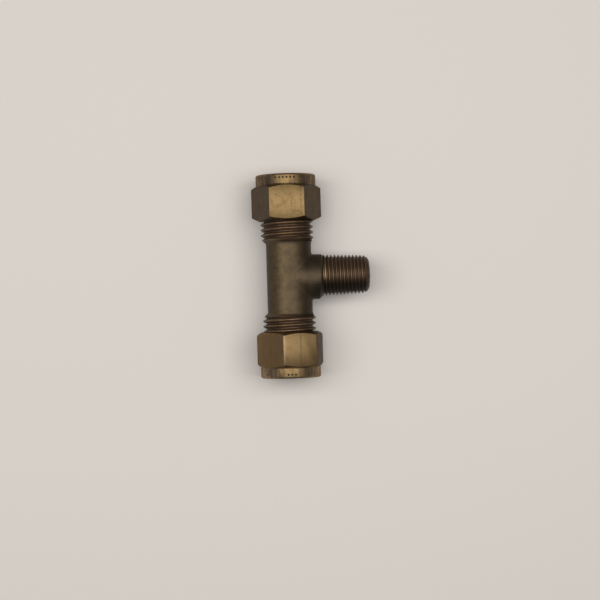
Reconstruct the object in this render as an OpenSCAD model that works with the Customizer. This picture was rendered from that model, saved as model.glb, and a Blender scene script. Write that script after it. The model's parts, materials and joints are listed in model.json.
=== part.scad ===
// Compression tee: a forged body with a tube port at each end of its run and a tapered male branch.
// The origin is where the run and branch axes cross. The run lies along Y and the branch along +X.
// Turned pieces are drawn along +Z, outwards from the tee's centre, then laid on the run or the branch.

/* [Tube ports] */
// Outside diameter of the tube that each port takes
tube_d = 8; // [7:0.1:8.8]
// Wall of the tube, which sets the bore of the run
tube_wall = 1; // [0.6:0.1:1.5]
// Radial clearance round the tube in the socket, the olive and the nut
tube_clearance = 0.1; // [0.05:0.05:0.25]
// Depth of each socket, from the end of the run to the shoulder that stops the tube
socket_depth = 7.4; // [5:0.1:10]
// Half-angle of the coned mouth that the olive is pressed into
mouth_angle = 30; // [25:1:40]
// Width of the flat rim between the coned mouth and the thread's root
mouth_rim = 0.5; // [0.3:0.1:0.8]

/* [Forged body] */
// Diameter of the plain barrel between the two run threads
barrel_d = 11.2; // [10.4:0.1:12]
// Length of the barrel between the two run threads
barrel_length = 18.8; // [15:0.1:24]
// How far the top of the branch's boss lies below the top of the barrel
boss_drop = 0.05; // [0.05:0.05:0.4]
// Distance from the tee's centre to the face of the boss
boss_end = 8.6; // [7.6:0.1:12]
// Chamfer round the face of the boss
boss_chamfer = 0.6; // [0.2:0.1:0.8]
// Fillet between the barrel and the boss, where it is widest
fillet_r = 1.6; // [0.6:0.1:2]

/* [Run thread] */
// Outside diameter of the parallel thread at each end of the run
run_thread_d = 13.157; // [12.4:0.001:15]
// Pitch of the run thread
run_pitch = 1.337; // [1:0.001:1.5]
// Length of each run thread
run_thread_length = 9; // [8:0.1:12]

/* [Branch thread] */
// Outside diameter of the taper thread at its gauge plane
branch_thread_d = 9.728; // [9.2:0.001:10.4]
// Pitch of the branch thread
branch_pitch = 0.907; // [0.7:0.001:1.2]
// Distance from the small end of the branch to its gauge plane
gauge_length = 4; // [3:0.1:6]
// Length over which the taper thread grows by one unit in diameter
taper_length = 16; // [12:1:24]
// Distance from the tee's centre to the end of the branch
branch_end = 20.2; // [16:0.1:26]
// Chamfer on the end of the branch
branch_chamfer = 1; // [0.6:0.1:1.4]
// Bore of the branch
branch_bore_d = 5.5; // [4:0.1:5.8]

/* [Nuts] */
// Wall of each nut between its thread and its flats
nut_wall = 0.87; // [0.7:0.01:2]
// Length of the hexagon
hex_length = 8.6; // [7:0.1:10]
// Angle of the chamfer at the hexagon's inner end
inner_chamfer_angle = 25; // [15:1:40]
// Angle of the chamfer at the hexagon's outer end, beside the collar
outer_chamfer_angle = 30; // [15:1:40]
// How far the edge of the nut's inner face lies inside the flats
face_step = 0.6; // [0.1:0.05:0.6]
// Length of the round collar at the nut's outer end
collar_length = 2.8; // [1.5:0.1:4]
// How far the collar lies inside the flats
collar_step = 0.05; // [0.05:0.05:0.4]
// Rounding of the collar's outer rim
collar_round = 0.5; // [0.2:0.1:0.8]
// Length of the tube hole in the nut's outer end
lip_length = 2.3; // [1.5:0.1:3]
// Radial clearance between the nut and the crests of the run thread
thread_clearance = 0.05; // [0.02:0.01:0.1]
// How far the nut's thread runs on past the end of the body
thread_relief = 0.6; // [0.3:0.1:1]
// Angle of the rear nut about the run
rear_nut_angle = 0; // [-30:1:30]
// Angle of the front nut about the run
front_nut_angle = 18; // [-30:1:30]

/* [Olives] */
// Radial room between the crown of each olive and the nut
olive_room = 0.35; // [0.1:0.05:0.5]
// Wall of each olive at its two ends
olive_lip = 0.4; // [0.2:0.05:0.6]
// Length of the crown between the olive's two tapers
olive_crown = 2.6; // [2:0.1:3.4]
// Half-angle of the olive's outer taper and of the seat for it in the nut
seat_angle = 45; // [40:1:55]
// Clearance between the olive and each of its two seats, finger tight
seat_clearance = 0.1; // [0.05:0.05:0.2]

/* [Edges] */
// Chamfer that breaks the sharp edges of bores and ends
edge_break = 0.3; // [0.1:0.05:0.3]

/* [Hidden] */
$fn = 96;

rear = 1;
front = -1;
forged_brass = "#6b5a3c";
turned_brass = "#a88a55";

// Ridges of a 55 degree thread: their depth, and the shares of a pitch that a flank and a crest take.
depth_per_pitch = 0.6403;
flank_share = 1 / 3;
crest_share = 1 / 6;

// How far a cut runs past the face that it opens.
cut_past = 0.5;
// Points on a rounded rim, and on the fillet's arcs and up its height.
rim_steps = 5;
fillet_steps = 5;
fillet_levels = 10;
// Share of its radius by which the fillet sinks into both cylinders, so that its outer chords cross them.
fillet_sink = (1 - cos(90 / fillet_steps)) / 2;
// Depth of the fillet's buried corner, and the share of the boss's height at which the fillet ends.
fillet_root = 0.4;
fillet_reach = 0.97;

barrel_r = barrel_d / 2;
boss_r = barrel_r - boss_drop;
barrel_half = barrel_length / 2;
run_half = barrel_half + run_thread_length;
saddle_r = min(fillet_r, barrel_half - boss_r, boss_end - boss_chamfer - barrel_r);

tube_r = tube_d / 2 + tube_clearance;
run_bore_r = tube_d / 2 - tube_wall;
branch_bore_r = branch_bore_d / 2;
tube_stop = run_half - socket_depth;

run_crest_r = run_thread_d / 2;
run_root_r = run_crest_r - depth_per_pitch * run_pitch;
run_ridges = floor(run_thread_length / run_pitch);
mouth_r = run_root_r - mouth_rim;
mouth_start = run_half - (mouth_r - tube_r) / tan(mouth_angle);

branch_depth = depth_per_pitch * branch_pitch;
branch_tip_r = branch_crest_r(branch_end) - branch_chamfer;
branch_ridges = floor((branch_end - branch_chamfer - boss_end) / branch_pitch + flank_share + crest_share);

// The olive lies between the coned mouth and the nut's seat. Places are distances from the tee's centre.
olive_crown_r = run_root_r - olive_room;
olive_lip_r = tube_r + olive_lip;
olive_start = mouth_start + (olive_lip + seat_clearance / cos(mouth_angle)) / tan(mouth_angle);
crown_start = olive_start + (olive_crown_r - olive_lip_r) / tan(mouth_angle);
crown_end = crown_start + olive_crown;
olive_end = crown_end + (olive_crown_r - olive_lip_r) / tan(seat_angle);

// The nut's seat clears the olive's outer taper, and the nut is placed by that seat.
nut_thread_r = run_crest_r + thread_clearance;
nut_thread_end = run_half + thread_relief;
nut_drill_r = run_root_r;
seat_shift = seat_clearance / sin(seat_angle);
seat_start = crown_end + seat_shift - (nut_drill_r - olive_crown_r) / tan(seat_angle);
seat_end = crown_end + seat_shift + (olive_crown_r - tube_r) / tan(seat_angle);
nut_end = seat_end + lip_length;
hex_end = nut_end - collar_length;
nut_start = hex_end - hex_length;
flat_r = nut_thread_r + nut_wall;
corner_r = flat_r / cos(30);
collar_r = flat_r - collar_step;
face_r = flat_r - face_step;
// The chamfer at the nut's mouth leaves at least half of the inner face.
mouth_break = min(edge_break, (face_r - nut_thread_r) / 2);

// Radius of the branch thread's crests at a distance from the tee's centre
function branch_crest_r(distance) =
    branch_thread_d / 2 + (branch_end - gauge_length - distance) / taper_length / 2;

// Outline of one thread ridge from the height where it starts, as points of [radius, height]
function ridge(start, pitch, crest_r, root_r) = [
    [root_r, start],
    [crest_r, start + flank_share * pitch],
    [crest_r, start + (flank_share + crest_share) * pitch],
    [root_r, start + (2 * flank_share + crest_share) * pitch],
];

// Outline of a rounded outer rim under a face at a height
function rim(outer_r, face, r) = [
    for (i = [0:rim_steps]) let (a = 90 * i / rim_steps)
        [outer_r - r + r * cos(a), face - r + r * sin(a)]
];

// Points of the fillet at one height: a corner inside both cylinders, and an arc between their sides
function fillet_level(z) =
    let (
        wall = sqrt(pow(barrel_r, 2) - pow(z, 2)),
        side = sqrt(pow(boss_r, 2) - pow(z, 2)),
        r = saddle_r * side / boss_r,
        centre = [wall + r - fillet_sink * r, side + r - fillet_sink * r]
    )
    concat(
        [[wall - fillet_root, side - fillet_root, z]],
        [for (i = [0:fillet_steps]) let (a = 90 * i / fillet_steps)
            [centre.x - r * sin(a), centre.y - r * cos(a), z]]
    );

// Lays a piece that is drawn along +Z on the rear or the front half of the run.
module on_run(side) {
    rotate([-90 * side, 0, 0]) children();
}

// Lays a piece that is drawn along +Z on the branch.
module on_branch() {
    rotate([0, 90, 0]) children();
}

// The run in one turned profile: the barrel with a threaded end on each side of it.
module run_blank() {
    half = concat(
        [[barrel_r, barrel_half]],
        [for (i = [0:run_ridges - 1])
            each ridge(barrel_half + i * run_pitch, run_pitch, run_crest_r, run_root_r)],
        [[run_root_r, run_half], [0, run_half]]
    );
    other_half = [for (i = [len(half) - 1:-1:0]) [half[i].x, -half[i].y]];
    on_run(rear) rotate_extrude() polygon(concat(other_half, half));
}

// The boss and the taper thread of the branch in one turned profile.
module branch_blank() {
    ridges = [for (i = [0:branch_ridges - 1])
        let (start = boss_end + i * branch_pitch, crest_r = branch_crest_r(start + branch_pitch / 2))
        each ridge(start, branch_pitch, crest_r, crest_r - branch_depth)];
    tip_root_r = ridges[len(ridges) - 1].x;
    on_branch() rotate_extrude() polygon(concat(
        [[0, 0], [boss_r, 0], [boss_r, boss_end - boss_chamfer], [boss_r - boss_chamfer, boss_end]],
        ridges,
        [[tip_root_r, branch_end - (tip_root_r - branch_tip_r)], [branch_tip_r, branch_end], [0, branch_end]]
    ));
}

// Fillet between the barrel and the boss, on the rear side of the branch. It narrows towards the tops of
// the two cylinders, where their sides run together.
module saddle_fillet() {
    heights = [for (i = [-fillet_levels:fillet_levels]) boss_r * fillet_reach * sin(90 * i / fillet_levels)];
    n = fillet_steps + 2;
    last = len(heights) - 1;
    walls = [for (i = [0:last - 1]) for (j = [0:n - 1]) let (k = (j + 1) % n)
        [i * n + j, (i + 1) * n + j, (i + 1) * n + k, i * n + k]];
    bottom = [for (j = [1:n - 2]) [0, j, j + 1]];
    top = [for (j = [1:n - 2]) [last * n, last * n + j + 1, last * n + j]];
    polyhedron([for (z = heights) each fillet_level(z)], concat(bottom, walls, top), convexity = 4);
}

// Tube socket with its coned mouth, as the cutter for one end of the run.
module socket_cutter() {
    rotate_extrude() polygon([
        [0, tube_stop], [tube_r, tube_stop], [tube_r, mouth_start], [mouth_r, run_half],
        [mouth_r, run_half + cut_past], [0, run_half + cut_past],
    ]);
}

// Bore of the branch with its chamfered mouth, as a cutter that starts in the bore of the run.
module branch_cutter() {
    rotate_extrude() polygon([
        [0, 0], [branch_bore_r, 0], [branch_bore_r, branch_end - edge_break],
        [branch_bore_r + edge_break, branch_end], [branch_bore_r + edge_break, branch_end + cut_past],
        [0, branch_end + cut_past],
    ]);
}

module tee_body() {
    color(forged_brass) difference() {
        union() {
            run_blank();
            branch_blank();
            saddle_fillet();
            mirror([0, 1, 0]) saddle_fillet();
        }
        on_run(rear) cylinder(r = run_bore_r, h = 2 * tube_stop + cut_past, center = true);
        on_run(rear) socket_cutter();
        on_run(front) socket_cutter();
        on_branch() branch_cutter();
    }
}

// Outside of a nut: a hexagon between two chamfer cones, and a round collar.
module nut_blank() {
    past_r = corner_r + cut_past;
    inner_slope = tan(inner_chamfer_angle);
    outer_slope = tan(outer_chamfer_angle);
    intersection() {
        translate([0, 0, nut_start]) cylinder(r = corner_r, h = hex_length, $fn = 6);
        rotate_extrude() polygon([
            [0, nut_start], [face_r, nut_start], [past_r, nut_start + (past_r - face_r) * inner_slope],
            [past_r, hex_end - (past_r - collar_r) * outer_slope], [collar_r, hex_end], [0, hex_end],
        ]);
    }
    rotate_extrude() polygon(concat(
        [[0, hex_end - cut_past], [collar_r, hex_end - cut_past]],
        rim(collar_r, nut_end, collar_round),
        [[0, nut_end]]
    ));
}

// A nut with its thread bore, its coned seat for the olive and the hole that the tube passes.
module nut() {
    mouth_edge_r = nut_thread_r + mouth_break;
    hole_edge_r = tube_r + edge_break;
    difference() {
        nut_blank();
        rotate_extrude() polygon([
            [0, nut_start - cut_past], [mouth_edge_r, nut_start - cut_past], [mouth_edge_r, nut_start],
            [nut_thread_r, nut_start + mouth_break], [nut_thread_r, nut_thread_end],
            [nut_drill_r, nut_thread_end], [nut_drill_r, seat_start], [tube_r, seat_end],
            [tube_r, nut_end - edge_break], [hole_edge_r, nut_end], [hole_edge_r, nut_end + cut_past],
            [0, nut_end + cut_past],
        ]);
    }
}

// An olive: a plain bore under a crown with a taper at each end.
module olive() {
    rotate_extrude() polygon([
        [tube_r, olive_start], [olive_lip_r, olive_start], [olive_crown_r, crown_start],
        [olive_crown_r, crown_end], [olive_lip_r, olive_end], [tube_r, olive_end],
    ]);
}

module rear_nut() {
    color(turned_brass) rotate([0, rear_nut_angle, 0]) on_run(rear) nut();
}

module front_nut() {
    color(turned_brass) rotate([0, front_nut_angle, 0]) on_run(front) nut();
}

module rear_olive() {
    color(turned_brass) on_run(rear) olive();
}

module front_olive() {
    color(turned_brass) on_run(front) olive();
}

tee_body();
rear_nut();
front_nut();
rear_olive();
front_olive();
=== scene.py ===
# Brass compression tee: a forged body with three cut threads, two hexagon nuts and the olives inside them.
import json
import math
from contextlib import contextmanager

import bpy
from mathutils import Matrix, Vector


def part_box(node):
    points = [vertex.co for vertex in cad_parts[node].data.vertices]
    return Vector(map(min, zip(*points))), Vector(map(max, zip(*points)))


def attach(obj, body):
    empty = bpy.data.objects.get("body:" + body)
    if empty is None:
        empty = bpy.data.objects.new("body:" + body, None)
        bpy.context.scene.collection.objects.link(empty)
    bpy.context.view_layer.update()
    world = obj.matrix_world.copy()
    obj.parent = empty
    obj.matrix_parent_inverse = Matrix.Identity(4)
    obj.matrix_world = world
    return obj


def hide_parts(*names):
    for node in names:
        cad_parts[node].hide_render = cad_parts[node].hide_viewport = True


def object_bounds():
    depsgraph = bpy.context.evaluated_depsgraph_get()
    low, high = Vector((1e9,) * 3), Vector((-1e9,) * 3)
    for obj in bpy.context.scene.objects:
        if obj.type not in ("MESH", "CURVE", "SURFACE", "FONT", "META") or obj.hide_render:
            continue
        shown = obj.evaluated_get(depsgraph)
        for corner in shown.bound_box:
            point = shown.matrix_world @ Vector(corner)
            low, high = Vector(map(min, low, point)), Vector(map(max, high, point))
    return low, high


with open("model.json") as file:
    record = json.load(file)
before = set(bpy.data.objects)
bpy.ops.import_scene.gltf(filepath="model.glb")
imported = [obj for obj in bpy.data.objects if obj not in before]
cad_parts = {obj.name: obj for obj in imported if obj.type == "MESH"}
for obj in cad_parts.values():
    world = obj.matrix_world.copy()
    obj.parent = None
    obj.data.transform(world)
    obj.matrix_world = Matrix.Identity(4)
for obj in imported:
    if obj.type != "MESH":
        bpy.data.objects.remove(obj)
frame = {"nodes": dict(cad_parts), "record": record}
cad_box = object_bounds()

MM = 0.001
MERGE = 0.002 * MM
CUT_SNAP = MERGE / 100
HAIR = 0.0001 * MM
TURN_STEPS = 96
CUT_PAST = 1 * MM
SMOOTH_ANGLE = math.radians(38)

# Sizes that the frame gives. The run lies along Y and the branch along +X.
# Heights along an arm are from the tee's centre.
body_low, body_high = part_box("tee_body")
nut_low, nut_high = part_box("rear_nut")
mounts = {mount["name"]: mount for mount in frame["record"]["mounts"]}
RUN_END = body_high[1]
BRANCH_END = body_high[0]
RUN_CREST_R = body_high[2]
NUT_START = nut_low[1]
NUT_END = nut_high[1]
FLAT_R = nut_high[2]
RUN_BORE_R = mounts["run_bore"]["dims"]["r_mm"] * MM
TUBE_R = mounts["rear_tube_socket"]["dims"]["r_mm"] * MM
BRANCH_BORE_R = mounts["branch_bore"]["dims"]["r_mm"] * MM
TUBE_STOP = mounts["run_bore"]["dims"]["length_mm"] / 2 * MM

# Forged blank.
BARREL_R = 5.6 * MM
BOSS_R = 5.58 * MM
BOSS_END = 8.6 * MM
BOSS_CHAMFER = 0.6 * MM
TURNING_R = 2.3 * BARREL_R
SKIN_VOXEL = 0.16 * MM
SOFTEN_FACTOR = 0.5
FILLET_REACH = 2.0 * MM
FILLET_PASSES = 40
SKIN_PASSES = 3
# The forging sits a little off the axes that the threads and bores were cut on.
FORGING_SHIFT = (0.27 * MM, -0.28 * MM, 0)
# Each end of the barrel flares to the thread, up to the foot of the first groove.
FLARE_TOP = {"rear": 8.92 * MM, "front": 9.9 * MM}
FLARE_LENGTH = 1.2 * MM
FLARE_R = 6.15 * MM
FLARE_STEPS = 8

# Threads of rounded 55 degree form: depth, and the radius of crest and root, for each unit of pitch.
DEPTH_PER_PITCH = 0.6403
ROUND_PER_PITCH = 0.1373
FLANK_ANGLE = math.radians(62.5)
ROUND_STEPS = 2
RUN_PITCH = 1.337 * MM
RUN_DEPTH = DEPTH_PER_PITCH * RUN_PITCH
RUN_ROOT_R = RUN_CREST_R - RUN_DEPTH
BRANCH_PITCH = 0.907 * MM
BRANCH_DEPTH = DEPTH_PER_PITCH * BRANCH_PITCH
BRANCH_GAUGE_R = 4.864 * MM
GAUGE_LENGTH = 4 * MM
BRANCH_GAUGE = BRANCH_END - GAUGE_LENGTH
TAPER = 1 / 32
NOSE_R = 1.9 * MM
NOSE_STEPS = 6
SPARE_PITCHES = 2
# Shares of a pitch by which the roots lie further out than whole pitches from the centre.
PHASE = {"rear": -0.39, "front": 0.26, "branch": 0.09}
MOUTH_RIM = 0.5 * MM
MOUTH_ANGLE = math.radians(30)
EDGE_BREAK = 0.3 * MM

# Nuts.
HEX_SIDES = 6
FLAT_STEP = 2 * math.pi / HEX_SIDES
CORNER_R = FLAT_R / math.cos(FLAT_STEP / 2)
HEX_LENGTH = 8.6 * MM
HEX_END = NUT_START + HEX_LENGTH
INNER_CHAMFER = math.tan(math.radians(25))
OUTER_CHAMFER = math.tan(math.radians(30))
FACE_R = FLAT_R - 0.6 * MM
COLLAR_R = FLAT_R - 0.05 * MM
COLLAR_ROUND = 0.5 * MM
COLLAR_STEPS = 6
GROOVE_DEPTH = 0.12 * MM
GROOVE_WIDTH = 0.3 * MM
NUT_EDGE = 0.07 * MM
NUT_EDGE_STEPS = 2
NUT_EDGE_ANGLE = math.radians(20)
THREAD_CLEARANCE = 0.05 * MM
NUT_THREAD_END = 19 * MM
SEAT_START = 21.251 * MM
NUT_TURN = {"rear": 0, "front": math.radians(18)}
# Rows of punch dots on the collars: the degrees from the top to a row's first dot, and the number of dots.
DOT_R = 0.3 * MM
DOT_DEPTH = 0.15 * MM
DOT_SIDES = 12
DOT_RINGS = 8
DOT_HEIGHT = NUT_END - 1 * MM
DOT_STEP = math.radians(7)
DOT_ROWS = {
    "rear": ((-58, 3), (-20, 6), (38, 3)),
    "front": ((-56, 2), (-6, 3), (36, 3)),
}

# Rotations that lay a piece which stands on Z along an arm of the tee.
LAID = {
    "rear": (-math.pi / 2, 0, 0),
    "front": (math.pi / 2, 0, 0),
    "branch": (0, math.pi / 2, 0),
}


def pick(piece):
    """Selects one piece alone and makes it the active one."""
    bpy.ops.object.select_all(action="DESELECT")
    piece.select_set(True)
    bpy.context.view_layer.objects.active = piece


@contextmanager
def editing(piece):
    """Edit mode on one piece, with all of it selected."""
    pick(piece)
    bpy.ops.object.mode_set(mode="EDIT")
    bpy.ops.mesh.select_mode(type="VERT")
    bpy.ops.mesh.select_all(action="SELECT")
    yield
    bpy.ops.object.mode_set(mode="OBJECT")


def named(name):
    """The piece that the last operator added, under its own name."""
    piece = bpy.context.object
    piece.name = piece.data.name = name
    return piece


def settle(piece):
    """Puts a piece's place and turn into its mesh."""
    pick(piece)
    bpy.ops.object.transform_apply(location=True, rotation=True, scale=True)
    return piece


def lay(piece, arm):
    """Lays a piece that stands on Z along an arm of the tee."""
    piece.rotation_euler = LAID[arm]
    return settle(piece)


def apply(piece, modifier):
    """Puts a modifier's result into a piece's mesh."""
    bpy.context.view_layer.objects.active = piece
    bpy.ops.object.modifier_apply(modifier=modifier.name)


def combine(piece, tool, operation):
    """Joins a tool to a piece, or cuts the piece with it, and takes the tool away."""
    joint = piece.modifiers.new("Combine", "BOOLEAN")
    joint.solver = "EXACT"
    joint.operation = operation
    joint.object = tool
    apply(piece, joint)
    bpy.data.objects.remove(tool)


def close_seams(piece):
    """Merges the seams and poles of a swept piece and points its faces outwards."""
    with editing(piece):
        bpy.ops.mesh.remove_doubles(threshold=MERGE)
        bpy.ops.mesh.normals_make_consistent(inside=False)


def mend(piece):
    """Closes the hairline gaps that cuts through slim faces leave, and takes out edges of no length."""
    with editing(piece):
        bpy.ops.mesh.dissolve_degenerate(threshold=HAIR)
        bpy.ops.mesh.select_all(action="SELECT")
        bpy.ops.mesh.delete_loose()
        bpy.ops.mesh.select_all(action="DESELECT")
        bpy.ops.mesh.select_non_manifold(
            extend=False, use_wire=False, use_multi_face=False, use_non_contiguous=False, use_verts=False)
        bpy.ops.mesh.fill_holes(sides=0)
        bpy.ops.mesh.select_all(action="SELECT")
        bpy.ops.mesh.normals_make_consistent(inside=False)


def outline(name, points):
    """A chain of edges through points of (radius, height), drawn in the XZ plane."""
    bpy.ops.mesh.primitive_plane_add(size=MM)
    chain = named(name)
    with editing(chain):
        bpy.ops.mesh.merge(type="CENTER")
        bpy.ops.transform.translate(value=(points[0][0], 0, points[0][1]))
        for (radius, height), (next_radius, next_height) in zip(points, points[1:]):
            step = (next_radius - radius, 0, next_height - height)
            bpy.ops.mesh.extrude_vertices_move(TRANSFORM_OT_translate={"value": step})
    return chain


def turned(name, points):
    """A solid turned about Z from an outline that starts and ends on the axis.

    It starts half a step round, so that its edges cross those of a thread and don't run along them.
    """
    piece = outline(name, points)
    with editing(piece):
        bpy.ops.transform.rotate(value=math.pi / TURN_STEPS, orient_axis="Z", center_override=(0, 0, 0))
        bpy.ops.mesh.spin(steps=TURN_STEPS, angle=2 * math.pi, center=(0, 0, 0), axis=(0, 0, 1))
    close_seams(piece)
    return piece


def cylinder(name, radius, start, end, sides=TURN_STEPS, turn=0):
    """A bar that stands on Z."""
    bpy.ops.mesh.primitive_cylinder_add(
        vertices=sides, radius=radius, depth=end - start,
        location=(0, 0, (start + end) / 2), rotation=(0, 0, turn))
    return settle(named(name))


def arc(centre, radius, first, last, steps):
    """Points of (radius, height) on an arc, at angles from the turning axis's normal."""
    angles = [first + (last - first) * i / steps for i in range(steps + 1)]
    return [(centre[0] + radius * math.cos(a), centre[1] + radius * math.sin(a)) for a in angles]


def mirrored(half):
    """An outline's other half, from its far end back to the middle."""
    return [(radius, -height) for radius, height in reversed(half)]


def thread_outline(crest_r, pitch, depth, start):
    """One pitch of a rounded thread, from root to root."""
    round_h = ROUND_PER_PITCH * pitch
    round_r = round_h * depth / (DEPTH_PER_PITCH * pitch)
    root_r = crest_r - depth
    points = []
    for i in range(ROUND_STEPS + 1):
        a = FLANK_ANGLE * i / ROUND_STEPS
        points.append((root_r + round_r * (1 - math.cos(a)), start + round_h * math.sin(a)))
    for i in range(2 * ROUND_STEPS + 1):
        a = FLANK_ANGLE * (i / ROUND_STEPS - 1)
        points.append((crest_r - round_r * (1 - math.cos(a)), start + pitch / 2 + round_h * math.sin(a)))
    for i in range(ROUND_STEPS + 1):
        a = FLANK_ANGLE * (1 - i / ROUND_STEPS)
        points.append((root_r + round_r * (1 - math.cos(a)), start + pitch - round_h * math.sin(a)))
    return points


def cut_across(piece, height, keep_above):
    """Cuts a piece that stands on Z square across and closes the cut."""
    with editing(piece):
        bpy.ops.mesh.bisect(
            plane_co=(0, 0, height), plane_no=(0, 0, 1), use_fill=True, threshold=CUT_SNAP,
            clear_inner=keep_above, clear_outer=not keep_above)


def threaded_bar(name, crest_r, pitch, depth, start, end, phase, taper=0):
    """A bar with a right-hand thread that stands on Z. Its roots pass +X at whole pitches and the phase.

    A taper is the share of its radius at the centre that the bar loses for each unit of height.
    """
    first = (math.floor(start / pitch) - SPARE_PITCHES + phase) * pitch
    bar = outline(name, thread_outline(crest_r, pitch, depth, first))
    sweep = bar.modifiers.new("Thread", "SCREW")
    sweep.axis = "Z"
    sweep.angle = 2 * math.pi
    sweep.screw_offset = pitch
    sweep.iterations = math.ceil((end - first) / pitch) + 1
    sweep.steps = sweep.render_steps = TURN_STEPS
    apply(bar, sweep)
    close_seams(bar)
    if taper:
        heights = [vertex.co.z for vertex in bar.data.vertices]
        narrow = bar.modifiers.new("Taper", "SIMPLE_DEFORM")
        narrow.deform_method = "TAPER"
        narrow.deform_axis = "Z"
        narrow.factor = -taper * (max(heights) - min(heights))
        apply(bar, narrow)
    cut_across(bar, start, keep_above=True)
    cut_across(bar, end, keep_above=False)
    close_seams(bar)
    return bar


def run_end(arm):
    """One threaded end of the run: it grows out of the flare and has a chamfer at the mouth."""
    full_r = RUN_CREST_R + THREAD_CLEARANCE
    core_r = RUN_ROOT_R - RUN_DEPTH
    top = FLARE_TOP[arm]
    bar = threaded_bar(
        "run_end", RUN_CREST_R, RUN_PITCH, RUN_DEPTH, top - 3 * CUT_PAST, RUN_END + CUT_PAST, PHASE[arm])
    combine(bar, turned("run_blank", [
        (0, top - 2 * CUT_PAST), (core_r, top - 2 * CUT_PAST), (core_r, top - (FLARE_R - core_r)),
        (full_r, top + full_r - FLARE_R), (full_r, RUN_END - (full_r - RUN_ROOT_R)), (RUN_ROOT_R, RUN_END),
        (0, RUN_END)]), "INTERSECT")
    return lay(bar, arm)


def branch_arm():
    """The tapered thread of the branch, with its rounded nose."""
    start = BOSS_END - CUT_PAST
    centre_r = BRANCH_GAUGE_R + BRANCH_GAUGE * TAPER
    middle_share = 1 - (BOSS_END + BRANCH_END) / 2 * TAPER / centre_r
    tip_r = BRANCH_GAUGE_R - (BRANCH_END - BRANCH_GAUGE) * TAPER - NOSE_R
    bar = threaded_bar(
        "branch_arm", centre_r, BRANCH_PITCH, BRANCH_DEPTH / middle_share, start, BRANCH_END + CUT_PAST,
        PHASE["branch"], taper=TAPER / centre_r)
    nose = arc((tip_r, BRANCH_END - NOSE_R), NOSE_R, 0, math.pi / 2, NOSE_STEPS)
    combine(bar, turned("branch_blank", [
        (0, start), (centre_r, start), (centre_r, BRANCH_END - NOSE_R - (centre_r - tip_r - NOSE_R)), *nose,
        (0, BRANCH_END)]), "INTERSECT")
    return lay(bar, "branch")


def flare(top):
    """Half of the barrel's outline: its hollow curve up to the thread, and some more to be cut away."""
    curve = []
    for i in range(FLARE_STEPS + 1):
        share = i / FLARE_STEPS
        rise = (FLARE_R - BARREL_R) * (1 - math.sqrt(1 - share ** 2))
        curve.append((BARREL_R + rise, top - FLARE_LENGTH * (1 - share)))
    return [*curve, (FLARE_R, top + 2 * CUT_PAST), (0, top + 2 * CUT_PAST)]


def flared_barrel():
    """The barrel, with a hollow curve at each end that flares to the thread's blank."""
    rear = flare(FLARE_TOP["rear"] - FORGING_SHIFT[1])
    front = flare(FLARE_TOP["front"] + FORGING_SHIFT[1])
    return lay(turned("tee_body_forged", mirrored(front) + rear), "rear")


def crease_share(co):
    """How much a point of the skin is softened: 1 within half the fillet's reach of the crease, 0 past it."""
    if co.x < 0:
        return 0
    off_barrel = math.hypot(co.x, co.z) - BARREL_R
    off_boss = math.hypot(co.y, co.z) - BOSS_R
    share = 1 - math.hypot(off_barrel, off_boss) / FILLET_REACH
    return min(1, max(0, 2 * share))


def soften_skin(blank):
    """Turns a blank into one skin, with a soft fillet in the crease and no sharp edges."""
    skin = blank.modifiers.new("Skin", "REMESH")
    skin.mode = "VOXEL"
    skin.voxel_size = SKIN_VOXEL
    apply(blank, skin)
    crease = blank.vertex_groups.new(name="crease")
    for vertex in blank.data.vertices:
        crease.add([vertex.index], crease_share(vertex.co), "REPLACE")
    for group, passes in (("crease", FILLET_PASSES), ("", SKIN_PASSES)):
        soften = blank.modifiers.new("Soften", "SMOOTH")
        soften.factor = SOFTEN_FACTOR
        soften.iterations = passes
        soften.vertex_group = group
        apply(blank, soften)
    blank.vertex_groups.clear()


def forged_blank():
    """Barrel and boss forged in one, with a soft fillet between them, and their ends turned true."""
    blank = flared_barrel()
    combine(blank, lay(cylinder("boss", BOSS_R, 0, BOSS_END + CUT_PAST), "branch"), "UNION")
    soften_skin(blank)
    blank.location = FORGING_SHIFT
    settle(blank)
    chamfer_start = BOSS_END - BOSS_CHAMFER
    combine(blank, lay(turned("boss_turning", [
        (0, -TURNING_R), (TURNING_R, -TURNING_R), (TURNING_R, chamfer_start - CUT_PAST),
        (BOSS_R + CUT_PAST, chamfer_start - CUT_PAST), (BOSS_R - BOSS_CHAMFER, BOSS_END), (0, BOSS_END)]),
        "branch"), "INTERSECT")
    rear_tip = FLARE_TOP["rear"] + FLARE_R
    front_tip = FLARE_TOP["front"] + FLARE_R
    combine(blank, lay(turned("run_turning", [
        (0, -front_tip), (TURNING_R, TURNING_R - front_tip), (TURNING_R, rear_tip - TURNING_R),
        (0, rear_tip)]), "rear"), "INTERSECT")
    return blank


def run_cutter():
    """The bore of the run, with a tube socket and a coned mouth at each end."""
    mouth_r = RUN_ROOT_R - MOUTH_RIM
    mouth_start = RUN_END - (mouth_r - TUBE_R) / math.tan(MOUTH_ANGLE)
    half = [
        (RUN_BORE_R, TUBE_STOP), (TUBE_R, TUBE_STOP), (TUBE_R, mouth_start),
        (mouth_r + CUT_PAST * math.tan(MOUTH_ANGLE), RUN_END + CUT_PAST), (0, RUN_END + CUT_PAST)]
    return lay(turned("run_cutter", mirrored(half) + half), "rear")


def branch_cutter():
    """The bore of the branch, with a broken edge at its end."""
    wide_r = BRANCH_BORE_R + EDGE_BREAK + CUT_PAST
    return lay(turned("branch_cutter", [
        (0, 0), (BRANCH_BORE_R, 0), (BRANCH_BORE_R, BRANCH_END - EDGE_BREAK), (wide_r, BRANCH_END + CUT_PAST),
        (0, BRANCH_END + CUT_PAST)]), "branch")


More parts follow.
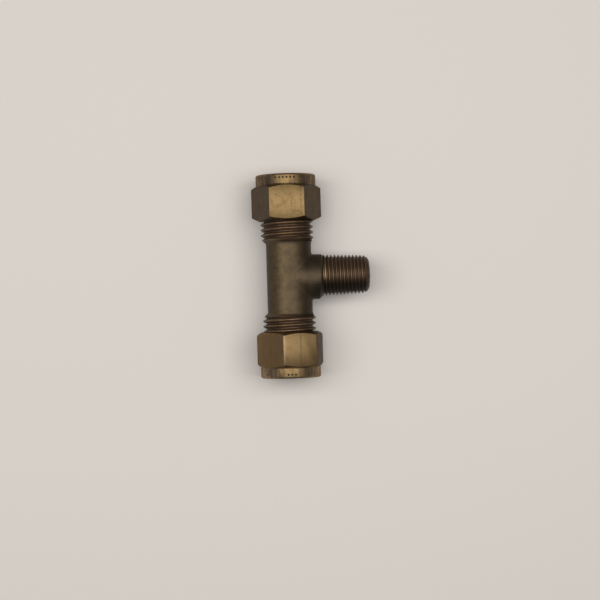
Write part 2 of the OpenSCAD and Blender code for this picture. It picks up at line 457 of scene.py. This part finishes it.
def tee_body():
    """The whole body: forged blank, cut threads and bores."""
    body = forged_blank()
    for part in (run_end("rear"), run_end("front"), branch_arm()):
        combine(body, part, "UNION")
    for cutter in (run_cutter(), branch_cutter()):
        combine(body, cutter, "DIFFERENCE")
    mend(body)
    return body


def punch_row(arm, turn, count):
    """The tool for a row of round punch dots on a laid nut's collar, from a turn away from the top."""
    reach = COLLAR_R + DOT_R - DOT_DEPTH
    along = DOT_HEIGHT if arm == "rear" else -DOT_HEIGHT
    bpy.ops.mesh.primitive_uv_sphere_add(
        segments=DOT_SIDES, ring_count=DOT_RINGS, radius=DOT_R,
        location=(reach * math.sin(turn), along, reach * math.cos(turn)))
    row = settle(named("punch_row"))
    with editing(row):
        bpy.ops.mesh.spin(
            steps=count - 1, dupli=True, angle=DOT_STEP * (count - 1), center=(0, 0, 0), axis=(0, -1, 0))
    return row


def nut_blank(arm):
    """A chamfered hexagon with a round collar, a groove behind it and broken edges."""
    blank = cylinder(
        f"{arm}_nut_turned", CORNER_R, NUT_START - CUT_PAST, NUT_END + CUT_PAST, HEX_SIDES, FLAT_STEP / 2)
    wide_r = CORNER_R + CUT_PAST
    rim = arc((COLLAR_R - COLLAR_ROUND, NUT_END - COLLAR_ROUND), COLLAR_ROUND, 0, math.pi / 2, COLLAR_STEPS)
    combine(blank, turned("nut_turning", [
        (0, NUT_START), (FACE_R, NUT_START), (wide_r, NUT_START + (wide_r - FACE_R) * INNER_CHAMFER),
        (wide_r, HEX_END - (wide_r - COLLAR_R) * OUTER_CHAMFER), (COLLAR_R, HEX_END),
        (COLLAR_R - GROOVE_DEPTH, HEX_END + GROOVE_DEPTH), (COLLAR_R, HEX_END + GROOVE_WIDTH), *rim,
        (0, NUT_END)]), "INTERSECT")
    soften = blank.modifiers.new("Edges", "BEVEL")
    soften.width = NUT_EDGE
    soften.segments = NUT_EDGE_STEPS
    soften.limit_method = "ANGLE"
    soften.angle_limit = NUT_EDGE_ANGLE
    apply(blank, soften)
    blank.rotation_euler = (0, 0, -NUT_TURN[arm])
    return settle(blank)


def nut_bore():
    """The drilled inside of a nut: thread relief, olive room, coned seat and tube hole."""
    mouth_r = RUN_CREST_R + 2 * THREAD_CLEARANCE
    drill_r = RUN_ROOT_R
    return turned("nut_bore", [
        (0, NUT_START - CUT_PAST), (mouth_r + CUT_PAST, NUT_START - CUT_PAST),
        (drill_r, NUT_START + mouth_r - drill_r), (drill_r, SEAT_START),
        (TUBE_R, SEAT_START + drill_r - TUBE_R), (TUBE_R, NUT_END - EDGE_BREAK),
        (TUBE_R + EDGE_BREAK + CUT_PAST, NUT_END + CUT_PAST), (0, NUT_END + CUT_PAST)])


def nut(arm):
    """One nut: its blank, tapped, bored and punched."""
    piece = nut_blank(arm)
    combine(piece, threaded_bar(
        "nut_tap", RUN_CREST_R + THREAD_CLEARANCE, RUN_PITCH, RUN_DEPTH, NUT_START - CUT_PAST, NUT_THREAD_END,
        PHASE[arm]), "DIFFERENCE")
    combine(piece, nut_bore(), "DIFFERENCE")
    lay(piece, arm)
    for degrees, count in DOT_ROWS[arm]:
        combine(piece, punch_row(arm, math.radians(degrees), count), "DIFFERENCE")
    mend(piece)
    return piece


class Value:
    """A value in a material's nodes. Arithmetic on it adds Math nodes."""

    def __init__(self, paint, socket):
        self.paint = paint
        self.socket = socket

    def math(self, operation, *others):
        return self.paint.math(operation, self, *others)

    def __add__(self, other):
        return self.math("ADD", other)

    def __sub__(self, other):
        return self.math("SUBTRACT", other)

    def __rsub__(self, other):
        return self.paint.math("SUBTRACT", other, self)

    def __mul__(self, other):
        return self.math("MULTIPLY", other)

    def __truediv__(self, other):
        return self.math("DIVIDE", other)

    def __pow__(self, other):
        return self.math("POWER", other)

    def __abs__(self):
        return self.math("ABSOLUTE")

    def rise(self, low, high):
        """0 below low, 1 above high, smooth between. Low above high makes it a fall."""
        return self.paint.node(
            "ShaderNodeMapRange", {"interpolation_type": "SMOOTHSTEP"},
            {"Value": self, "From Min": low, "From Max": high})

    def between(self, first, second):
        """The first number where this value is 0, the second where it is 1."""
        return self * (second - first) + first


class Paint:
    """A material made of nodes."""

    def __init__(self, name):
        self.material = bpy.data.materials.new(name)
        self.material.use_nodes = True
        self.tree = self.material.node_tree
        self.shader = self.tree.nodes["Principled BSDF"]
        self.place = self.node("ShaderNodeTexCoord", output="Object")

    def node(self, kind, settings=None, sockets=None, output=0):
        """Adds a node, sets its settings, then its sockets, and gives one of its outputs."""
        node = self.tree.nodes.new(kind)
        for key, value in (settings or {}).items():
            setattr(node, key, value)
        self.feed(node, sockets or {})
        return Value(self, node.outputs[output])

    def feed(self, node, sockets):
        """Links values to a node's sockets and sets the sockets that get plain numbers."""
        for key, value in sockets.items():
            if isinstance(value, Value):
                self.tree.links.new(value.socket, node.inputs[key])
            else:
                node.inputs[key].default_value = value

    def math(self, operation, *values):
        return self.node("ShaderNodeMath", {"operation": operation}, dict(enumerate(values)))

    def most(self, first, *others):
        """The largest of some values."""
        for other in others:
            first = self.math("MAXIMUM", first, other)
        return first

    def axes(self):
        """X, Y and Z of the place, in metres."""
        split = self.node("ShaderNodeSeparateXYZ", sockets={"Vector": self.place}).socket.node
        return [Value(self, socket) for socket in split.outputs]

    def stretched(self, scale):
        """The place with its axes scaled, for a pattern that runs one way."""
        return self.node("ShaderNodeMapping", sockets={"Vector": self.place, "Scale": scale})

    def noise(self, size, detail, place=None):
        """Noise whose features are about that size, in metres."""
        return self.node("ShaderNodeTexNoise", sockets={
            "Vector": place or self.place, "Scale": 1 / size, "Detail": detail})

    def mix(self, share, first, second):
        """A colour between two colours."""
        return self.node("ShaderNodeMix", {"data_type": "RGBA"}, {0: share, 6: first, 7: second}, output=2)

    def bump(self, height, distance):
        """A normal raised by a height of 0 to 1 over that distance."""
        return self.node("ShaderNodeBump", sockets={"Height": height, "Distance": distance})

    def finish(self, **channels):
        """Feeds the shader's sockets and gives the material."""
        self.feed(self.shader, {key.replace("_", " "): value for key, value in channels.items()})
        return self.material


# Base colours. They are dark because the light overhead is bright.
FORGED_DARK = (0.064, 0.045, 0.026, 1)
FORGED_LIGHT = (0.104, 0.073, 0.041, 1)
# Painted highlight of the barrel's skin.
FORGED_HIGHLIGHT = (0.148, 0.104, 0.055, 1)
# Dark colour for the skin's dirt, and for painted shade over the body.
FORGED_DIRT_AND_SHADE = (0.030, 0.025, 0.019, 1)
THREAD_DARK = (0.116, 0.075, 0.047, 1)
THREAD_BRASS = (0.232, 0.146, 0.080, 1)
# Painted highlight of the branch's first ridge.
THREAD_HIGHLIGHT = (0.42, 0.29, 0.165, 1)
FLAT_BRASS = (0.147, 0.096, 0.041, 1)
FLAT_STAIN = (0.102, 0.067, 0.030, 1)
# Painted highlight of the front nut's flats.
FLAT_HIGHLIGHT = (0.270, 0.175, 0.088, 1)
FLAT_EDGE = (0.185, 0.134, 0.082, 1)
# Painted shade of the nuts' side flats, in two tones.
FLAT_SIDE_SHADE = (0.119, 0.094, 0.071, 1)
FLAT_SIDE_SHADE_GREY = (0.076, 0.063, 0.051, 1)
SEAM_DARK = (0.065, 0.045, 0.027, 1)
DOT_DIRT = (0.048, 0.034, 0.022, 1)
COLLAR_BROWN = (0.066, 0.045, 0.028, 1)
COLLAR_SIDE = (0.205, 0.150, 0.100, 1)
COLLAR_PALE = (0.300, 0.218, 0.140, 1)
OLIVE_BRASS = (0.62, 0.44, 0.2, 1)
EDGE_TINT = (0.62, 0.56, 0.50, 1)

# Noise: the size of its features, and spans of its strength over which a mask rises.
PATCH_SIZE = 3.0 * MM
GRAIN_SIZE = 0.3 * MM
BLOTCH_SIZE = 1.3 * MM
TARNISH_SIZE = 1.1 * MM
LINE_SIZE = 0.2 * MM
RING_SIZE = 0.14 * MM
STREAK_SIZE = 0.9 * MM
STAIN_SIZE = 1.4 * MM
SPECKLE_SIZE = 0.35 * MM
PIT_SIZE = 0.7 * MM
OLIVE_RING_SIZE = 0.1 * MM
OLIVE_STAIN_SIZE = 1.2 * MM
SOFT_SPAN = (0.3, 0.7)
FINE_SPAN = (0.35, 0.7)
BLOTCH_SPAN = (0.42, 0.68)
GRAIN_SPAN = (0.38, 0.62)
GRAIN_DIRT_SPAN = (0.5, 0.7)
STREAK_SPAN = (0.38, 0.66)
STAIN_SPAN = (0.45, 0.75)
PIT_SPAN = (0.68, 0.73)
OLIVE_STAIN_SPAN = (0.4, 0.7)
# How much each pattern counts in a mix of two colours.
PATCH_SHARE = 0.5
GRAIN_SHARE = 0.5
# Strength of the painted highlight on the barrel's skin.
HIGHLIGHT_SHARE = 0.9
BLOTCH_DIRT = 0.28
GRAIN_DIRT = 0.25
# Strengths of the painted shade on the branch's front and of the darkening at its tip.
LOW_SIDE_SHADE = 0.86
TIP_DARKENING = 0.68
STAIN_SHARE = 0.2
LINE_SHARE = 0.2
SPECKLE_SHARE = 0.45
EDGE_SHARE = 0.8
PIT_SHARE = 0.5
# Shares of streaks, speckle and the front nut in the painted shade of the side flats.
SIDE_SHADE_STREAKS = 0.5
SIDE_SHADE_SPECKLE = 0.3
SIDE_SHADE_FRONT = 0.4
BAND_STREAKS = 0.65
BAND_RINGS = 0.2
SIDE_STREAKS = 0.5
OLIVE_STAINS = 0.5
# Scales of the axes that draw noise out along the run, or round it.
LINE_STRETCH = (1, 0.04, 1)
STREAK_STRETCH = (1, 0.3, 1)
RING_STRETCH = (0.05, 1, 0.05)

# The body: spans of place over which a mask rises, and amounts at its 0 and its 1.
SKIN_FADE_BEFORE = 0.2 * MM
SKIN_FADE_PAST = 0.1 * MM
BRANCH_FADE = 0.05 * MM
CREST_SPAN = (0.1, 1.0)
# Band and strength of the painted highlight on the branch's crests.
HIGHLIGHT_BAND_FRONT = (-1.6 * MM, -0.2 * MM)
HIGHLIGHT_BAND_REAR = (3.4 * MM, 1.4 * MM)
HIGHLIGHT_BAND_HEIGHT = (0, 3 * MM)
BRANCH_CREST_HIGHLIGHT = (0.75, 1)
CREST_CLEAN = (0.35, 1)
# Where the branch's first ridge carries its painted highlight.
FIRST_RIDGE_HIGHLIGHT = (BOSS_END + 0.75 * MM, BOSS_END + 0.45 * MM)
# Where the barrel's skin carries its painted highlight.
HIGHLIGHT_SIDE = (0.5 * MM, -2.5 * MM)
# Where painted shade lies on the branch's front, the hub and the flanks, and where the branch darkens towards
# its tip.
LOW_OUT = (4 * MM, 8 * MM)
LOW_FRONT = (-0.4 * MM, -2.6 * MM)
HUB_OUT = (3 * MM, 5 * MM)
HUB_REAR = (3 * MM, 5 * MM)
HUB_SHADE = (0.3, 0.55)
TIP_OUT = (BRANCH_END - 1.7 * MM, BRANCH_END - 0.5 * MM)
FLANK_DOWN = (5.2 * MM, 1.2 * MM)
FLANK_REAR = (0, 2 * MM)
FLANK_SHADE = (0.8, 0.4)
BODY_METALLIC = (0.92, 0.82)
BODY_ROUGHNESS = (0.5, 0.4)
GRAIN_ROUGHNESS = 0.06
GRAIN_BUMP = 0.06 * MM

# The nuts: the same, and the drawn line along the upper flats, as its distance from a flat's middle.
SEAM = {"rear": 3.5 * MM, "front": 0.15 * MM}
SEAM_SPAN = (0.3 * MM, 0.04 * MM)
SEAM_STRENGTH = (0.25, 0.65)
SEAM_TILTED = (1, 0.3)
MIDDLE_FADE = 0.01 * MM
COLLAR_FADE = 0.05 * MM
# Which flats are upper ones, free of the side flats' painted shade.
UPPER_FLAT_COSINE = (0.45, 0.8)
TILTED_SINE = (-0.4, -0.6)
# How much of the front nut's painted highlight each flat takes.
HIGHLIGHT_TILTED = (0.22, 1)
EDGE_SPAN = (-3.85 * MM, -3.95 * MM)
COLLAR_OUT = (2.5 * MM, 5 * MM)
RIM_SPAN = (NUT_END - 0.55 * MM, NUT_END - 0.2 * MM)
RIM_STRENGTH = (0.4, 0.8)
DOT_SUNK = (COLLAR_R - 0.03 * MM, COLLAR_R - 0.1 * MM)
DOT_BAND = (DOT_R + 0.1 * MM, DOT_R)
NUT_METALLIC = 0.96
NUT_ROUGHNESS = (0.38, 0.46)
NUT_BUMP = 0.004 * MM
OLIVE_ROUGHNESS = (0.28, 0.43)
OLIVE_BUMP = 0.006 * MM


def forged_skin(paint, x, grain):
    """The colour of the forged skin: patchy and grained, with a painted highlight that makes it paler on the
    side away from the branch.
    """
    patches = paint.noise(PATCH_SIZE, detail=3).rise(*SOFT_SPAN)
    blotches = paint.noise(BLOTCH_SIZE, detail=4).rise(*BLOTCH_SPAN)
    skin = paint.mix(
        patches * PATCH_SHARE + grain.rise(*GRAIN_SPAN) * GRAIN_SHARE, FORGED_DARK, FORGED_LIGHT)
    # Painted highlight: the skin is paler on the side away from the branch.
    skin = paint.mix(x.rise(*HIGHLIGHT_SIDE) * HIGHLIGHT_SHARE, skin, FORGED_HIGHLIGHT)
    dirt = blotches * BLOTCH_DIRT + grain.rise(*GRAIN_DIRT_SPAN) * GRAIN_DIRT
    return paint.mix(dirt, skin, FORGED_DIRT_AND_SHADE)


def cut_thread(paint, axes, on_run, on_branch):
    """The colour of the threads: brighter on rubbed crests; on the branch, crests along its top carry a
    painted highlight, strongest on its first upper ridge.
    """
    x, y, z = axes
    run_height = ((x * x + z * z) ** 0.5 - RUN_ROOT_R) / RUN_DEPTH
    branch_root = BRANCH_GAUGE_R - BRANCH_DEPTH + BRANCH_GAUGE * TAPER
    branch_height = ((y * y + z * z) ** 0.5 - branch_root + x * TAPER) / BRANCH_DEPTH
    # The band along the top of the branch where its crests carry a painted highlight.
    upper = y.rise(*HIGHLIGHT_BAND_FRONT) * y.rise(*HIGHLIGHT_BAND_REAR) * z.rise(*HIGHLIGHT_BAND_HEIGHT)
    run_crest = run_height.rise(*CREST_SPAN) * on_run
    branch_crest = branch_height.rise(*CREST_SPAN) * on_branch * upper.between(*BRANCH_CREST_HIGHLIGHT)
    tarnish = paint.noise(TARNISH_SIZE, detail=3).rise(*SOFT_SPAN)
    rubbed_and_highlit = (run_crest + branch_crest) * tarnish.between(*CREST_CLEAN)
    thread = paint.mix(rubbed_and_highlit, THREAD_DARK, THREAD_BRASS)
    # Painted highlight on the branch's first ridge within that band.
    return paint.mix(x.rise(*FIRST_RIDGE_HIGHLIGHT) * on_branch * upper, thread, THREAD_HIGHLIGHT)


def body_shade(paint, axes, on_branch):
    """How much painted shade lies on the body: on the branch's front, the hub and down the flanks; and how
    much darker the branch gets towards its tip.
    """
    x, y, z = axes
    # Painted shade on the branch's front, the hub and the flanks, and darkening towards the branch's tip.
    low_side = x.rise(*LOW_OUT) * y.rise(*LOW_FRONT) * LOW_SIDE_SHADE
    hub_top = x.rise(*HUB_OUT) * y.rise(*HUB_REAR).between(*HUB_SHADE) * (1 - on_branch)
    tip = x.rise(*TIP_OUT) * TIP_DARKENING
    flanks = z.rise(*FLANK_DOWN) * (x.rise(*HUB_OUT) * y.rise(*FLANK_REAR)).between(*FLANK_SHADE)
    return paint.most(low_side, hub_top, tip, flanks)


def forged_brass():
    """Dull forged skin with a painted highlight on the side away from the branch, threads cut into it that
    are rubbed brighter on their crests and carry painted highlights on the branch, and painted shade over the
    body.
    """
    paint = Paint("forged_brass")
    axes = paint.axes()
    x, y, _ = axes
    rear = FLARE_TOP["rear"]
    front = FLARE_TOP["front"]
    on_rear = y.rise(rear - SKIN_FADE_BEFORE, rear + SKIN_FADE_PAST)
    on_front = y.rise(SKIN_FADE_BEFORE - front, -SKIN_FADE_PAST - front)
    on_run = on_rear + on_front
    on_branch = x.rise(BOSS_END - BRANCH_FADE, BOSS_END + BRANCH_FADE)
    cut = paint.most(on_run, on_branch)
    grain = paint.noise(GRAIN_SIZE, detail=3)
    metal = paint.mix(cut, forged_skin(paint, x, grain), cut_thread(paint, axes, on_run, on_branch))
    return paint.finish(
        # The painted shade and the tip's darkening go over the finished colour.
        Base_Color=paint.mix(body_shade(paint, axes, on_branch), metal, FORGED_DIRT_AND_SHADE),
        Metallic=cut.between(*BODY_METALLIC),
        Roughness=cut.between(*BODY_ROUGHNESS) + grain * GRAIN_ROUGHNESS,
        Normal=paint.bump(grain * (1 - cut), GRAIN_BUMP))


def nut_marks(paint):
    """The patterns that the flats and the collar of a nut share."""
    streaks = paint.noise(STREAK_SIZE, detail=3, place=paint.stretched(STREAK_STRETCH))
    return {
        "lines": paint.noise(LINE_SIZE, detail=2, place=paint.stretched(LINE_STRETCH)),
        "rings": paint.noise(RING_SIZE, detail=2, place=paint.stretched(RING_STRETCH)),
        "streaks": streaks.rise(*STREAK_SPAN),
        "stains": paint.noise(STAIN_SIZE, detail=4).rise(*STAIN_SPAN),
        "speckle": paint.noise(SPECKLE_SIZE, detail=3).rise(*FINE_SPAN),
    }


def nut_flats(paint, axes, at_front, marks):
    """The colour of the flats: brass on the upper ones, with a drawn line and a painted highlight on the
    front nut's flats, strongest on the tilted one, and painted shade in grey on the others.
    """
    x, _, z = axes
    speckle = marks["speckle"]
    turn = at_front.between(NUT_TURN["rear"], NUT_TURN["front"])
    flat_turn = ((x.math("ARCTAN2", z) - turn) / FLAT_STEP).math("ROUND") * FLAT_STEP + turn
    cosine = flat_turn.math("COSINE")
    sine = flat_turn.math("SINE")
    across = x * cosine - z * sine
    seam = abs(across - at_front.between(SEAM["rear"], SEAM["front"])).rise(*SEAM_SPAN)
    edge = at_front * across.rise(*EDGE_SPAN)
    tilted = sine.rise(*TILTED_SINE)
    pits = paint.noise(PIT_SIZE, detail=2).rise(*PIT_SPAN)
    lined = marks["lines"].rise(*FINE_SPAN)
    worn = marks["stains"] * STAIN_SHARE + lined * LINE_SHARE + speckle * SPECKLE_SHARE
    flat = paint.mix(worn, FLAT_BRASS, FLAT_STAIN)
    # Painted highlight on the front nut's flats, strongest on the tilted one.
    flat = paint.mix(at_front * tilted.between(*HIGHLIGHT_TILTED), flat, FLAT_HIGHLIGHT)
    flat = paint.mix(edge * EDGE_SHARE, flat, FLAT_EDGE)
    flat = paint.mix(seam * speckle.between(*SEAM_STRENGTH) * tilted.between(*SEAM_TILTED), flat, SEAM_DARK)
    flat = paint.mix(pits * PIT_SHARE, flat, SEAM_DARK)
    # Painted shade: the side flats take a greyer, darker colour than the upper ones.
    greyed = marks["streaks"] * SIDE_SHADE_STREAKS + speckle * SIDE_SHADE_SPECKLE + at_front * SIDE_SHADE_FRONT
    side_shade = paint.mix(greyed, FLAT_SIDE_SHADE, FLAT_SIDE_SHADE_GREY)
    return paint.mix(cosine.rise(*UPPER_FLAT_COSINE), side_shade, flat)


def nut_collar(paint, axes, at_front, marks):
    """The colour of the collar: brown streaks, paler sides and rim, and dirt in the punch dots."""
    x, y, z = axes
    streaks = marks["streaks"]
    browned = streaks * BAND_STREAKS + marks["rings"].rise(*FINE_SPAN) * BAND_RINGS
    band = paint.mix(browned, FLAT_BRASS, COLLAR_BROWN)
    side = paint.mix(at_front, COLLAR_SIDE, COLLAR_PALE)
    side = paint.mix(streaks * SIDE_STREAKS, side, COLLAR_BROWN)
    band = paint.mix(abs(x).rise(*COLLAR_OUT), band, side)
    rim = abs(y).rise(*RIM_SPAN) * marks["speckle"].between(*RIM_STRENGTH)
    band = paint.mix(rim, band, COLLAR_PALE)
    sunk = ((x * x + z * z) ** 0.5).rise(*DOT_SUNK)
    return paint.mix(sunk * abs(abs(y) - DOT_HEIGHT).rise(*DOT_BAND), band, DOT_DIRT)


def nut_brass():
    """Drawn hexagon bar with fine lines along it, and a turned collar."""
    paint = Paint("nut_brass")
    axes = paint.axes()
    _, y, _ = axes
    marks = nut_marks(paint)
    at_front = y.rise(MIDDLE_FADE, -MIDDLE_FADE)
    on_collar = abs(y).rise(HEX_END - COLLAR_FADE, HEX_END + COLLAR_FADE)
    colour = paint.mix(
        on_collar, nut_flats(paint, axes, at_front, marks), nut_collar(paint, axes, at_front, marks))
    height = marks["lines"] * (1 - on_collar) + marks["rings"] * on_collar
    return paint.finish(
        Base_Color=colour, Metallic=NUT_METALLIC, Roughness=marks["stains"].between(*NUT_ROUGHNESS),
        Specular_Tint=EDGE_TINT, Normal=paint.bump(height, NUT_BUMP))


def olive_brass():
    """Bright turned brass."""
    paint = Paint("olive_brass")
    rings = paint.noise(OLIVE_RING_SIZE, detail=2, place=paint.stretched(RING_STRETCH))
    stains = paint.noise(OLIVE_STAIN_SIZE, detail=3).rise(*OLIVE_STAIN_SPAN)
    return paint.finish(
        Base_Color=paint.mix(stains * OLIVE_STAINS, OLIVE_BRASS, FLAT_STAIN), Metallic=1.0,
        Roughness=stains.between(*OLIVE_ROUGHNESS), Normal=paint.bump(rings, OLIVE_BUMP))


def dress(piece, material, body, node):
    """Finishes a piece and hands it to its body in place of a CAD node."""
    piece.data.materials.clear()
    piece.data.materials.append(material)
    pick(piece)
    bpy.ops.object.shade_smooth_by_angle(angle=SMOOTH_ANGLE)
    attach(piece, body)
    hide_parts(node)


def build_fitting():
    """The body and the nuts as finished pieces, and the CAD olives in bright brass."""
    dress(tee_body(), forged_brass(), "tee", "tee_body")
    nuts = nut_brass()
    for arm in ("rear", "front"):
        dress(nut(arm), nuts, f"{arm}_cap", f"{arm}_nut")
    olives = olive_brass()
    for arm in ("rear", "front"):
        olive = frame["nodes"][f"{arm}_olive"]
        olive.data.materials.clear()
        olive.data.materials.append(olives)


# Floor, light and camera. Places and sizes of the floor and the light are in metres.
FLOOR_SIZE = 4
FLOOR_COLOUR = (0.685, 0.637, 0.590, 1)
FLOOR_ROUGHNESS = 0.9
WORLD_COLOUR = (1.0, 0.98, 0.96, 1)
WORLD_LEVEL = 0.18
SOFTBOX_PLACE = (-0.03, 0.04, 0.5)
SOFTBOX_SIZE = (0.9, 0.26)
SOFTBOX_WATTS = 3.2
VIEW_WIDTH = 149.4 * MM
VIEW_HEIGHT = 384 * MM
VIEW_CENTRE = (2.752 * MM, -5.99 * MM)
VIEW_ROLL = math.radians(1.7)
VIEW_TILT = math.radians(1.7)


def build_floor():
    """Pale paper under the fitting."""
    bpy.ops.mesh.primitive_plane_add(size=FLOOR_SIZE, location=(0, 0, cad_box[0][2]))
    floor = settle(named("floor"))
    paint = Paint("floor_paper")
    floor.data.materials.append(paint.finish(Base_Color=FLOOR_COLOUR, Roughness=FLOOR_ROUGHNESS))


def build_light():
    """A wide soft light overhead, and a faint even light all round."""
    bpy.ops.object.light_add(type="AREA", location=SOFTBOX_PLACE)
    softbox = bpy.context.object
    softbox.name = "softbox"
    softbox.data.shape = "RECTANGLE"
    softbox.data.size, softbox.data.size_y = SOFTBOX_SIZE
    softbox.data.energy = SOFTBOX_WATTS
    world = bpy.data.worlds.new("studio")
    world.use_nodes = True
    background = world.node_tree.nodes["Background"]
    background.inputs["Color"].default_value = WORLD_COLOUR
    background.inputs["Strength"].default_value = WORLD_LEVEL
    bpy.context.scene.world = world


def build_camera():
    """A camera almost straight above, a little over to the side away from the branch."""
    aside = VIEW_HEIGHT * math.sin(VIEW_TILT)
    bpy.ops.object.camera_add(location=(
        VIEW_CENTRE[0] - aside, VIEW_CENTRE[1], VIEW_HEIGHT * math.cos(VIEW_TILT)))
    camera = bpy.context.object
    camera.name = "camera"
    camera.rotation_mode = "ZYX"
    camera.rotation_euler = (0, -VIEW_TILT, -VIEW_ROLL)
    camera.data.angle = 2 * math.atan(VIEW_WIDTH / 2 / VIEW_HEIGHT)
    bpy.context.scene.camera = camera
    bpy.context.scene.view_settings.view_transform = "Standard"


build_fitting()
build_floor()
build_light()
build_camera()
